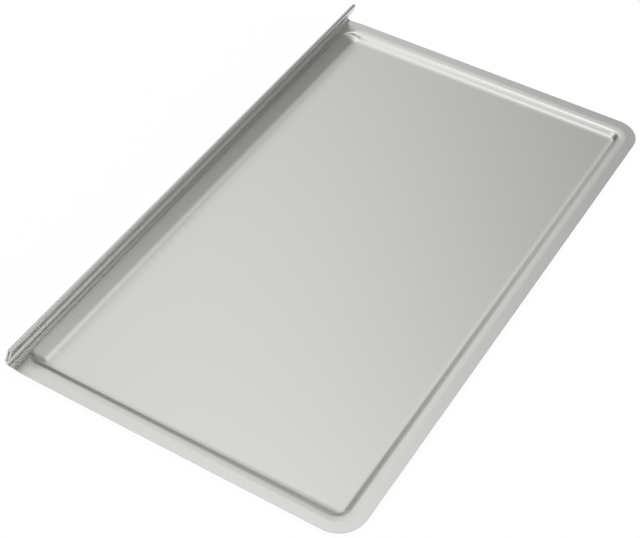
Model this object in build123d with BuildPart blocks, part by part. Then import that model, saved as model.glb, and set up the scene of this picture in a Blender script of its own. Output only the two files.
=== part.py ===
from build123d import *
from math import cos, radians, sin, tan
import os

# Cookie sheet pressed and bent from one aluminium blank, in millimetres.
# The lip runs along Y on the -X side. The underside of the floor is at Z zero.

# Whole sheet
length = 444.0             # along the lip
width = 266.5              # from the open long edge to the back of the lip
sheet = 1.0                # thickness of the blank
corner_radius = 20.5       # plan radius of the two free rim corners

# Shallow well
well_depth = 4.0           # drop from the rim to the floor
rim_width = 8.4            # flat rim on the three open sides
wall_slope = 33.0          # degrees down from level, on the straight part of the wall
crest_bend = 9.0           # radius from the rim over into the wall, half-way in the sheet
foot_bend = 6.6            # radius from the wall out into the floor, half-way in the sheet
floor_corner_radius = 1.2  # plan radius of the floor at its corners

# Bent lip with an open hem folded towards the well
shelf_width = 3.3          # flat strip between the wall and the lip bend
lip_height = 17.6          # top of the fold above the rim
lip_lean = 20.0            # degrees past upright, towards the well
lip_bend_radius = 3.0      # inside radius of the bend
hem_gap = 1.4              # space between the two layers of the hem
hem_length = 7.1           # straight part of the folded-in layer
end_setback = 0.8          # how far each end of the lip stands back from the rim
setback_run = 10.0         # length along the rim over which the ends taper back

# Broken edges of the blank
edge_break = 0.2           # rounding of the cut edges

# Heights
rim_under = well_depth
rim_top = well_depth + sheet
lip_top = rim_top + lip_height

# Wall of the well in its section: an arc, a straight slope and an arc back to level
half_sheet = sheet / 2
slope = radians(wall_slope)
bends_run = (crest_bend + foot_bend) * sin(slope)
bends_drop = (crest_bend + foot_bend) * (1 - cos(slope))
wall_run = bends_run + (well_depth - bends_drop) / tan(slope)

# Places across the sheet
open_edge = width / 2
lip_back = -width / 2
lip_root = lip_back + lip_bend_radius + sheet
crest_left = lip_root + shelf_width
crest_right = open_edge - rim_width
crest_length = length - 2 * rim_width
crest_width = crest_right - crest_left
crest_middle = (crest_right + crest_left) / 2
crest_radius = floor_corner_radius + wall_run

# Directions of the lip in its section: up the lip, and square to it, outwards
lean = radians(lip_lean)
up_lip = Vector(-sin(lean), cos(lean))
out_of_lip = Vector(cos(lean), sin(lean))

# Bend and fold of the lip, measured from the start of the bend at the rim's top
fold_radius = sheet + hem_gap / 2
bend_centre = Vector(0, lip_bend_radius)
fold_foot = bend_centre + out_of_lip * (lip_bend_radius + sheet - fold_radius)
leg_length = (lip_height - fold_radius - fold_foot.Y) / cos(lean)
fold_centre = fold_foot + up_lip * leg_length


with BuildPart() as cookie_sheet:
    # Floor of the well
    with BuildSketch(Plane.XY) as floor_outline:
        with Locations((crest_middle, 0)):
            RectangleRounded(crest_width - 2 * wall_run, crest_length - 2 * wall_run, floor_corner_radius)
    extrude(amount=sheet)

    # Rim around the well, square where it meets the lip and rounded at the open side
    with BuildSketch(Plane.XY.offset(rim_under)) as rim_outline:
        with Locations(((open_edge + lip_root) / 2, 0)):
            Rectangle(open_edge - lip_root, length)
        fillet(rim_outline.vertices().group_by(Axis.X)[-1], corner_radius)
        with Locations((crest_middle, 0)):
            RectangleRounded(crest_width, crest_length, crest_radius, mode=Mode.SUBTRACT)
    rim = extrude(amount=sheet)
    rim_faces = rim.faces().filter_by(Axis.Z).sort_by(Axis.Z)
    for rim_face in (rim_faces[0], rim_faces[-1]):
        fillet(rim_face.outer_wire().edges().sort_by(Axis.X)[1:], edge_break)

    # Sloping wall, one section carried round the well
    crest_plane = Plane((crest_middle, 0, rim_under + half_sheet))
    with BuildLine(crest_plane) as crest:
        straight_x = crest_width / 2 - crest_radius
        straight_y = crest_length / 2 - crest_radius
        Line((-straight_x, -crest_length / 2), (straight_x, -crest_length / 2))
        CenterArc((straight_x, -straight_y), crest_radius, 270, 90)
        Line((crest_width / 2, -straight_y), (crest_width / 2, straight_y))
        CenterArc((straight_x, straight_y), crest_radius, 0, 90)
        Line((straight_x, crest_length / 2), (-straight_x, crest_length / 2))
        CenterArc((-straight_x, straight_y), crest_radius, 90, 90)
        Line((-crest_width / 2, straight_y), (-crest_width / 2, -straight_y))
        CenterArc((-straight_x, -straight_y), crest_radius, 180, 90)
    wall_start = Vector(crest_middle - straight_x, -crest_length / 2, rim_under + half_sheet)
    with BuildSketch(Plane(wall_start, x_dir=(0, 1, 0), z_dir=(1, 0, 0))) as wall_section:
        with BuildLine():
            crest_centre = Vector(0, -crest_bend)
            foot_centre = Vector(wall_run, foot_bend - well_depth)
            crest_top = CenterArc(crest_centre, crest_bend + half_sheet, 90, -wall_slope)
            foot_top = CenterArc(foot_centre, foot_bend - half_sheet, 270, -wall_slope)
            Line(crest_top @ 1, foot_top @ 1)
            crest_under = CenterArc(crest_centre, crest_bend - half_sheet, 90, -wall_slope)
            foot_under = CenterArc(foot_centre, foot_bend + half_sheet, 270, -wall_slope)
            Line(crest_under @ 1, foot_under @ 1)
            Line(crest_top @ 0, crest_under @ 0)
            Line(foot_top @ 0, foot_under @ 0)
        make_face()
    sweep()

    # Lip and hem in one section, from the start of the bend to the raw edge
    lip_plane = Plane((lip_root, -length / 2, rim_top), x_dir=(-1, 0, 0), z_dir=(0, 1, 0))
    with BuildSketch(lip_plane) as lip_section:
        with BuildLine():
            bend_back = CenterArc(bend_centre, lip_bend_radius + sheet, 270, 90 + lip_lean)
            fold_out = CenterArc(fold_centre, fold_radius, lip_lean, 180)
            Line(bend_back @ 1, fold_out @ 0)
            raw_edge = (fold_out @ 1) - up_lip * hem_length
            Line(fold_out @ 1, raw_edge)
            Line(raw_edge, raw_edge + out_of_lip * sheet)
            fold_in = CenterArc(fold_centre, fold_radius - sheet, lip_lean, 180)
            Line(raw_edge + out_of_lip * sheet, fold_in @ 1)
            bend_front = CenterArc(bend_centre, lip_bend_radius, 270, 90 + lip_lean)
            Line(fold_in @ 0, bend_front @ 1)
            Line(bend_front @ 0, bend_back @ 0)
        make_face()
    extrude(amount=length)

    # Both ends of the lip stand back, and the rim tapers to meet them
    with BuildSketch(Plane.XY) as end_taper:
        with BuildLine():
            Polyline(
                (lip_root + setback_run, length / 2),
                (lip_root, length / 2 - end_setback),
                (lip_back, length / 2 - end_setback),
                (lip_back, length / 2),
                close=True,
            )
        make_face()
        mirror(about=Plane.XZ)
    extrude(amount=lip_top, mode=Mode.SUBTRACT)

cookie_sheet.part.label = "cookie_sheet"
os.makedirs("parts", exist_ok=True)
export_step(cookie_sheet.part, "parts/cookie_sheet.step")
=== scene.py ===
"""Cookie sheet pressed and bent from one aluminium blank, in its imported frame, in metres."""
from math import atan2, ceil, cos, degrees, log, radians, sin, tan

import bmesh
import bpy
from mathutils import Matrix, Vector


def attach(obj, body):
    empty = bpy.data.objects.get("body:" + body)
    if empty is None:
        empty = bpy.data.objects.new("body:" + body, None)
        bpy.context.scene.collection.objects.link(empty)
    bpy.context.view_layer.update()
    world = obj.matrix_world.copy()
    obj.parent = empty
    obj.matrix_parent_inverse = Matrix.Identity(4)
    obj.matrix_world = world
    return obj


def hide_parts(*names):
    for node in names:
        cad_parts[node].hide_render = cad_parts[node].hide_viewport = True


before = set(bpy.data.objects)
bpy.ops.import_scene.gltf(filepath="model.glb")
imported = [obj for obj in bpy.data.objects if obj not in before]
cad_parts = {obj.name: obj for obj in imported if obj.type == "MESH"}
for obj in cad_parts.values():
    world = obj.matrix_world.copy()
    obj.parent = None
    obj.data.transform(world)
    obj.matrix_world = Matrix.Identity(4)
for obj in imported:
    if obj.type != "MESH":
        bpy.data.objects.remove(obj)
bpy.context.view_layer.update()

MM = 0.001

# The sheet's real sizes, in millimetres, as in the part's source. Only the flat rim and the shelf
# are narrower here, because the wall as measured below is wider than the part's plain one.
length = 444.0             # along the lip
width = 266.5              # from the open long edge to the back of the lip
sheet = 1.0                # thickness of the blank
corner_radius = 20.5       # plan radius of the two free rim corners
well_depth = 4.0           # drop from the rim to the floor
rim_width = 5.8            # flat rim on the three open sides
floor_corner_radius = 1.2  # plan radius of the floor at its corners
shelf_width = 2.6          # flat strip between the wall and the lip bend
lip_height = 17.6          # top of the fold above the rim
lip_lean = 20.0            # degrees past upright, towards the well
lip_bend_radius = 3.0      # inside radius of the bend
hem_gap = 1.4              # space between the two layers of the hem
hem_length = 7.1           # straight part of the folded-in layer
end_setback = 0.8          # how far each end of the lip stands back from the rim
setback_run = 10.0         # length along the rim over which the ends taper back
edge_break = 0.2           # rounding of the cut edges

# The wall in its section, as (distance in from the crest, degrees down from level). The press
# leaves a steep step between two gentle shoulders on the open sides, and one straight slope
# below a sharp crest beside the lip. Each place in one list runs on round the corner to its
# like in the other, so the step runs into the sharp crest.
open_wall = (
    (0, 0), (1.2, 0), (2.4, 4), (3.6, 5), (4.8, 6), (6.0, 11), (7.2, 31),
    (8.4, 49), (9.6, 42), (10.8, 12), (11.6, 8), (12.4, 6), (13.2, 4), (14.4, 0),
)
lip_wall = (
    (0, 0), (0.1, 1), (0.2, 3), (0.3, 6), (0.4, 10), (0.6, 17), (0.8, 24),
    (1.4, 22), (3.0, 20), (5.2, 21), (7.2, 22), (9.2, 21), (11.2, 12), (14.0, 0),
)

# How finely the curved parts are divided
corner_steps = 20          # round each corner of the well and the rim
wall_steps = 4             # down the wall, from each of its measured angles to the next
bend_steps = 16            # round the lip's bend
fold_steps = 20            # round the hem's fold
side_step = 16.0           # largest length of a face along a straight side
leg_step = 4.0             # largest length of a face up the lip
edge_steps = 3             # round each broken edge
sharp_angle = 60.0         # degrees between faces, above which an edge is a cut edge
crest_margin = 0.06        # share of the rim taken by a narrow row of faces beside the crest
weld_distance = 0.001      # points closer together than this become one
rounding_error = 1e-6      # places that differ by less than this are the same

# Half-way between the sheet's two faces
half_sheet = sheet / 2
rim_level = well_depth + half_sheet
floor_level = half_sheet

# Places across the sheet
open_edge = width / 2
lip_root = lip_bend_radius + sheet - width / 2
lip_end = length / 2 - end_setback

# Centres of the well's corners: its wall is carried round each of them
open_run = open_wall[-1][0]
lip_run = lip_wall[-1][0]
core_left = lip_root + shelf_width + lip_run + floor_corner_radius
core_right = open_edge - rim_width - open_run - floor_corner_radius
core_end = length / 2 - rim_width - open_run - floor_corner_radius


def steps(start, end, count):
    """Evenly spaced values from start to end, without the last one."""
    return [start + (end - start) * i / count for i in range(count)]


def divisions(span, largest):
    """How many equal parts of at most the largest size a span has."""
    return max(1, ceil(span / largest))


# Angles of the stations round each corner of the well, in degrees. On the lip's side one station
# falls on the rim's square corner and one on the start of the end taper.
rim_corner_angle = degrees(atan2(lip_end - core_end, core_left - lip_root))
taper_angle = degrees(atan2(length / 2 - core_end, core_left - lip_root - setback_run))
left_angles = (
    steps(0, rim_corner_angle, corner_steps // 2)
    + steps(rim_corner_angle, taper_angle, corner_steps // 4)
    + steps(taper_angle, 90, corner_steps // 4)
)
right_angles = steps(0, 90, corner_steps)
across = divisions(core_right - core_left, side_step)
along = divisions(2 * core_end, side_step)


def stations():
    """(x, y, angle) of every station, anticlockwise from the lip's side of the near end.

    The wall's section at a station runs out from (x, y) at that angle.
    """
    found = []
    for i in range(across + 1):
        found.append((core_left + (core_right - core_left) * i / across, -core_end, 270))
    for angle in right_angles[1:]:
        found.append((core_right, -core_end, 270 + angle))
    for i in range(along + 1):
        found.append((core_right, -core_end + 2 * core_end * i / along, 0))
    for angle in right_angles[1:]:
        found.append((core_right, core_end, angle))
    for i in range(across + 1):
        found.append((core_right + (core_left - core_right) * i / across, core_end, 90))
    for angle in reversed(left_angles[1:]):
        found.append((core_left, core_end, 180 - angle))
    for i in range(along + 1):
        found.append((core_left, core_end - 2 * core_end * i / along, 180))
    for angle in left_angles[1:]:
        found.append((core_left, -core_end, 180 + angle))
    return found


def slope_at(section, inset):
    """Degrees down from level at a distance in from the crest."""
    for (start, before), (end, after) in zip(section, section[1:]):
        if inset <= end:
            return before + (after - before) * (inset - start) / (end - start)


def wall_rows(section):
    """(inset, drop) down the wall, which falls by the well's depth in all."""
    insets = [0.0]
    for (start, _), (end, _) in zip(section, section[1:]):
        insets += steps(start, end, wall_steps)[1:] + [end]
    drops = [0.0]
    for start, end in zip(insets, insets[1:]):
        fall = tan(radians(slope_at(section, (start + end) / 2)))
        drops.append(drops[-1] + (end - start) * fall)
    return [(inset, drop * well_depth / drops[-1]) for inset, drop in zip(insets, drops)]


def open_share(angle):
    """From 0 on the lip's side to 1 on the open sides, changing smoothly round two corners."""
    turn = min(abs(angle - 180) / 90, 1)
    return turn * turn * (3 - 2 * turn)


def well_loops():
    """The well's outlines, from its crest down to the foot of its wall."""
    loops = []
    matched_rows = zip(wall_rows(lip_wall), wall_rows(open_wall))
    for (lip_inset, lip_drop), (open_inset, open_drop) in matched_rows:
        loop = []
        for x, y, angle in stations():
            share = open_share(angle)
            run = lip_run + (open_run - lip_run) * share
            inset = lip_inset + (open_inset - lip_inset) * share
            drop = lip_drop + (open_drop - lip_drop) * share
            radius = floor_corner_radius + run - inset
            place = radius * cos(radians(angle)), radius * sin(radians(angle))
            loop.append(Vector((x + place[0], y + place[1], rim_level - drop)))
        loops.append(loop)
    return loops


def rim_loop(height):
    """The rim's cut edge, and on the lip's side the line where the lip starts to bend."""
    points = []
    for x, y, angle in stations():
        toward = Vector((cos(radians(angle)), sin(radians(angle))))
        side = 1 if y > 0 else -1
        on_corner = angle not in (0, 90, 180, 270)
        if x == core_right and (on_corner or abs(y) == core_end):
            # Round the free corner, which has its own centre
            point = Vector((open_edge - corner_radius, side * (length / 2 - corner_radius)))
            point += corner_radius * toward
        elif angle == 180:
            point = Vector((lip_root, y))
        elif not on_corner:
            point = Vector((x, y)) + toward * (length / 2 - core_end)
        else:
            point = square_corner(toward, side)
        points.append(Vector((point.x, point.y, height)))
    return points


def square_corner(toward, side):
    """Where a line from the well's corner centre meets the rim's square corner or its end taper."""
    to_root = (core_left - lip_root) / -toward.x
    rise = abs(toward.y)
    if to_root * rise <= lip_end - core_end + rounding_error:
        return Vector((lip_root, side * (core_end + to_root * rise)))
    slope = end_setback / setback_run
    to_taper = (lip_end + slope * (core_left - lip_root) - core_end) / (rise - slope * toward.x)
    to_end = (length / 2 - core_end) / rise
    reach = min(to_taper, to_end)
    return Vector((core_left + reach * toward.x, side * (core_end + reach * rise)))


def lip_stations():
    """(outwards, up) from the start of the bend: bend, leg, fold and hem, half-way in the sheet."""
    lean = radians(lip_lean)
    up_lip = Vector((-sin(lean), cos(lean)))
    out_of_lip = Vector((cos(lean), sin(lean)))
    bend_radius = lip_bend_radius + half_sheet
    fold_radius = half_sheet + hem_gap / 2
    bend_centre = Vector((0, bend_radius))
    bend = [
        bend_centre + bend_radius * Vector((sin(t), -cos(t)))
        for t in steps(0, radians(90 + lip_lean), bend_steps) + [radians(90 + lip_lean)]
    ]
    leg_foot = bend[-1]
    fold_foot = leg_foot - out_of_lip * fold_radius
    leg_length = (lip_height - fold_radius - fold_foot.y) / cos(lean)
    leg_count = divisions(leg_length, leg_step)
    leg = [leg_foot + up_lip * d for d in steps(0, leg_length, leg_count)[1:]]
    fold_centre = fold_foot + up_lip * leg_length
    fold = [
        fold_centre + fold_radius * Vector((cos(lean + t), sin(lean + t)))
        for t in steps(0, radians(180), fold_steps) + [radians(180)]
    ]
    hem_count = divisions(hem_length, leg_step)
    hem = [fold[-1] - up_lip * d for d in steps(0, hem_length, hem_count)[1:] + [hem_length]]
    return bend + leg + fold + hem


def bridge(mesh, first, second, closed=True):
    """Faces between two rows of points with as many points each."""
    count = len(first)
    for i in range(count if closed else count - 1):
        j = (i + 1) % count
        corners = [first[i], first[j], second[j], second[i]]
        mesh.faces.new([mesh.verts.new(corner) for corner in corners])


def pressed_sheet():
    """The blank half-way in its thickness, drawn in millimetres and scaled to metres."""
    mesh = bmesh.new()
    rim_edge = rim_loop(rim_level)
    loops = well_loops()
    crest_flat = [point.lerp(outer, crest_margin) for point, outer in zip(loops[0], rim_edge)]
    bridge(mesh, rim_edge, crest_flat)
    bridge(mesh, crest_flat, loops[0])
    for above, below in zip(loops, loops[1:]):
        bridge(mesh, above, below)

    # Flat floor: a narrow margin inside the wall's foot, with a triangle at each step round a
    # corner, and a grid between the corner centres
    core = [Vector((x, y, floor_level)) for x, y, _ in stations()]
    for i in range(len(core)):
        j = (i + 1) % len(core)
        corners = [loops[-1][i], loops[-1][j], core[j], core[i]]
        if core[i] == core[j]:
            corners.pop()
        mesh.faces.new([mesh.verts.new(corner) for corner in corners])
    columns = [core_left + (core_right - core_left) * i / across for i in range(across + 1)]
    rows = [-core_end + 2 * core_end * i / along for i in range(along + 1)]
    for near, far in zip(rows, rows[1:]):
        bridge(
            mesh,
            [Vector((x, near, floor_level)) for x in columns],
            [Vector((x, far, floor_level)) for x in columns],
            closed=False,
        )

    # Lip: the root line carried round the bend, up, over the fold and down the hem
    root = [point for point in rim_edge if abs(point.x - lip_root) < rounding_error]
    row = root
    for outwards, up in lip_stations()[1:]:
        next_row = [Vector((lip_root - outwards, point.y, rim_level + up)) for point in root]
        bridge(mesh, row, next_row, closed=False)
        row = next_row

    bmesh.ops.remove_doubles(mesh, verts=mesh.verts, dist=weld_distance)
    bmesh.ops.recalc_face_normals(mesh, faces=mesh.faces)
    floor_face = min(mesh.faces, key=lambda face: face.calc_center_median().z)
    if floor_face.normal.z < 0:
        bmesh.ops.reverse_faces(mesh, faces=mesh.faces)
    bmesh.ops.scale(mesh, vec=(MM, MM, MM), verts=mesh.verts)
    for face in mesh.faces:
        face.smooth = True
    data = bpy.data.meshes.new("pressed_sheet")
    mesh.to_mesh(data)
    mesh.free()
    return data


# One small function for every node
def node(tree, kind, settings=(), links=()):
    """Adds a node, with its settings by property or socket name, and its inputs' links."""
    made = tree.nodes.new(kind)
    for name, value in dict(settings).items():
        if isinstance(name, str) and hasattr(made, name):
            setattr(made, name, value)
        else:
            made.inputs[name].default_value = value
    for name, source in dict(links).items():
        tree.links.new(source, made.inputs[name])
    return made


def linear(hex_colour):
    """Linear colour of an sRGB hex value."""
    parts = [int(hex_colour[i:i + 2], 16) / 255 for i in (1, 3, 5)]
    return [p / 12.92 if p <= 0.04045 else ((p + 0.055) / 1.055) ** 2.4 for p in parts] + [1.0]


# Aluminium etched matt and anodised clear. To the eye it is a pale silver grey with soft, blurred
# reflections that have no direction. The real etched grain is far too fine to show, so it is
# drawn coarser, and gives only a slight unevenness of the gloss.
grain_size = 0.8           # millimetres across, as drawn
smoothest = 0.33           # roughness of the glossiest grains
roughest = 0.37            # roughness of the mattest grains


def satin_anodised_aluminium():
    """The finish of both faces of the sheet and of its cut edges."""
    material = bpy.data.materials.new("satin_anodised_aluminium")
    material.use_nodes = True
    tree = material.node_tree
    tree.nodes.clear()
    place = node(tree, "ShaderNodeTexCoord")
    grain = node(
        tree,
        "ShaderNodeTexNoise",
        {"Scale": 1 / (grain_size * MM), "Detail": 2.0, "Roughness": 0.6},
        {"Vector": place.outputs["Object"]},
    )
    roughness = node(
        tree,
        "ShaderNodeMapRange",
        {"To Min": smoothest, "To Max": roughest},
        {"Value": grain.outputs["Fac"]},
    )
    metal = node(
        tree,
        "ShaderNodeBsdfPrincipled",
        {"Metallic": 1.0, "Base Color": linear("#E2E2E0")},
        {"Roughness": roughness.outputs["Result"]},
    )
    node(tree, "ShaderNodeOutputMaterial", {}, {"Surface": metal.outputs["BSDF"]})
    return material


# The cookie sheet: the mesh, given its thickness and its broken edges
satin = satin_anodised_aluminium()
cookie_sheet = bpy.data.objects.new("pressed_sheet", pressed_sheet())
bpy.context.scene.collection.objects.link(cookie_sheet)
cookie_sheet.data.materials.append(satin)
thicken = cookie_sheet.modifiers.new("sheet thickness", "SOLIDIFY")
thicken.thickness = sheet * MM
thicken.offset = 0
thicken.use_even_offset = True
thicken.use_quality_normals = True
broken_edges = cookie_sheet.modifiers.new("broken edges", "BEVEL")
broken_edges.width = edge_break * MM
broken_edges.segments = edge_steps
broken_edges.limit_method = "ANGLE"
broken_edges.angle_limit = radians(sharp_angle)
flat_shading = cookie_sheet.modifiers.new("flat faces stay flat", "WEIGHTED_NORMAL")
flat_shading.keep_sharp = True
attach(cookie_sheet, "root")
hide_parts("cookie_sheet")

for cad_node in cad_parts.values():
    cad_node.data.materials.clear()
    cad_node.data.materials.append(satin)

# Plain pale floor under the sheet, in metres
floor_reach = 15.0         # from the middle to each side, well out of the picture
floor_drop = 0.0001        # below the sheet, so that the two don't share a plane
floor_mesh = bpy.data.meshes.new("studio_floor")
floor_mesh.from_pydata(
    [
        (x * floor_reach, y * floor_reach, -floor_drop)
        for x, y in ((-1, -1), (1, -1), (1, 1), (-1, 1))
    ],
    [],
    [(0, 1, 2, 3)],
)
studio_floor = bpy.data.objects.new("studio_floor", floor_mesh)
bpy.context.scene.collection.objects.link(studio_floor)

# Matt white paper. To the camera and in reflections it is part glow and part lit paper, which
# together come to about white and still show the sheet's shadow. To other rays it is only lit.
glow_share = 0.8
glow_strength = 1.13
paper = bpy.data.materials.new("white_background_paper")
paper.use_nodes = True
paper_tree = paper.node_tree
paper_tree.nodes.clear()
rays = node(paper_tree, "ShaderNodeLightPath")
camera_or_glossy = node(
    paper_tree,
    "ShaderNodeMath",
    {"operation": "MAXIMUM"},
    {0: rays.outputs["Is Camera Ray"], 1: rays.outputs["Is Glossy Ray"]},
)
seen = node(
    paper_tree,
    "ShaderNodeMath",
    {"operation": "MAXIMUM"},
    {0: camera_or_glossy.outputs[0], 1: rays.outputs["Is Transmission Ray"]},
)
lit_paper = node(paper_tree, "ShaderNodeBsdfDiffuse", {"Color": linear("#E8E8E8")})
glowing_paper = node(
    paper_tree,
    "ShaderNodeEmission",
    {"Color": linear("#FFFFFF"), "Strength": glow_strength},
)
seen_share = node(
    paper_tree,
    "ShaderNodeMath",
    {"operation": "MULTIPLY", 1: glow_share},
    {0: seen.outputs[0]},
)
mixed = node(
    paper_tree,
    "ShaderNodeMixShader",
    {},
    {0: seen_share.outputs[0], 1: lit_paper.outputs[0], 2: glowing_paper.outputs[0]},
)
node(paper_tree, "ShaderNodeOutputMaterial", {}, {"Surface": mixed.outputs[0]})
floor_mesh.materials.append(paper)

# Soft studio light: wide glows in a dark room, each fading smoothly from its middle
# (degrees from +Y towards -X, degrees above the floor, half width in degrees, strength)
glows = {
    "overhead softbox": (40.2, 77.5, 14.3, 2.25),
    "low softbox at the open side": (277.5, 15.1, 12.0, 3.85),
    "high panel at the open side": (308.1, 49.5, 12.0, 1.15),
    "softbox beyond the lip's near end": (135.4, 47.0, 18.1, 1.74),
    "panel beyond the lip's far end": (38.3, 42.4, 13.8, 1.05),
    "far wall, left": (52.9, 6.8, 12.0, 0.88),
    "far wall, right": (0.9, -3.9, 18.8, 1.24),
    "dim wall behind the camera": (215.0, 18.0, 28.0, 0.35),
}
world = bpy.data.worlds.new("studio")
bpy.context.scene.world = world
world.use_nodes = True
world_tree = world.node_tree
world_tree.nodes.clear()
sky = node(world_tree, "ShaderNodeTexCoord")
level = None
for azimuth, elevation, half_width, strength in glows.values():
    across_floor = cos(radians(elevation))
    middle = (
        -sin(radians(azimuth)) * across_floor,
        cos(radians(azimuth)) * across_floor,
        sin(radians(elevation)),
    )
    # Strength times e to the power of (cosine - 1) * sharpness, which halves at the half width
    sharpness = log(2) / (1 - cos(radians(half_width)))
    cosine = node(
        world_tree,
        "ShaderNodeVectorMath",
        {"operation": "DOT_PRODUCT", 1: middle},
        {0: sky.outputs["Generated"]},
    )
    power = node(
        world_tree,
        "ShaderNodeMath",
        {"operation": "MULTIPLY_ADD", 1: sharpness, 2: log(strength) - sharpness},
        {0: cosine.outputs["Value"]},
    )
    glow = node(world_tree, "ShaderNodeMath", {"operation": "EXPONENT"}, {0: power.outputs[0]})
    if level:
        both = {0: level.outputs[0], 1: glow.outputs[0]}
        glow = node(world_tree, "ShaderNodeMath", {"operation": "ADD"}, both)
    level = glow
light = node(
    world_tree,
    "ShaderNodeBackground",
    {"Color": linear("#FFFFFF")},
    {"Strength": level.outputs[0]},
)
node(world_tree, "ShaderNodeOutputWorld", {}, {"Surface": light.outputs["Background"]})

# Camera at the photograph's viewing angle
camera_place = (0.38545, -0.6795, 0.7876)                # metres
camera_angles = (43.79598468, -0.41497434, 31.48733574)  # degrees: tilt, roll and heading
camera_data = bpy.data.cameras.new("camera")
camera_data.lens = 86.7135        # millimetres
camera_data.sensor_width = 36.0   # millimetres
camera_data.clip_end = 100.0      # metres, past the floor's far corner
camera = bpy.data.objects.new("camera", camera_data)
camera.location = camera_place
camera.rotation_euler = [radians(angle) for angle in camera_angles]
bpy.context.scene.collection.objects.link(camera)
bpy.context.scene.camera = camera

bpy.context.scene.view_settings.view_transform = "Standard"
